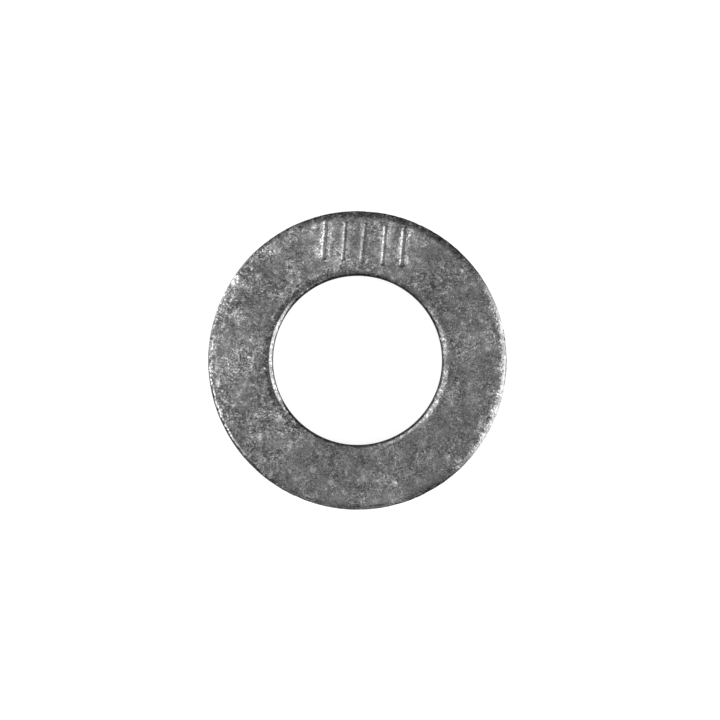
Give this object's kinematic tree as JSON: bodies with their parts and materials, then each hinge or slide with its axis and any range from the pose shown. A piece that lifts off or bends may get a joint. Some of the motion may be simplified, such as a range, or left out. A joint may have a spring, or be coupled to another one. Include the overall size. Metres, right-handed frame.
{
  "type": "washer",
  "caption": "Plain round washer, a punched steel ring with a central clearance bore, that spreads the load under a nut or bolt head.",
  "frame": {"origin": "centre of the bore, on the lower face that the washer rests on", "axes": "+Z along the bore, out of the rolled upper face; +Y towards the row of struck bars that the visual model has on that face"},
  "size_m": [0.037, 0.037, 0.004],
  "materials": {
    "dull_steel": "dull mottled grey, rubbed bright along the edges"
  },
  "bodies": {
    "root": {"washer": "dull_steel"}
  },
  "joints": []
}
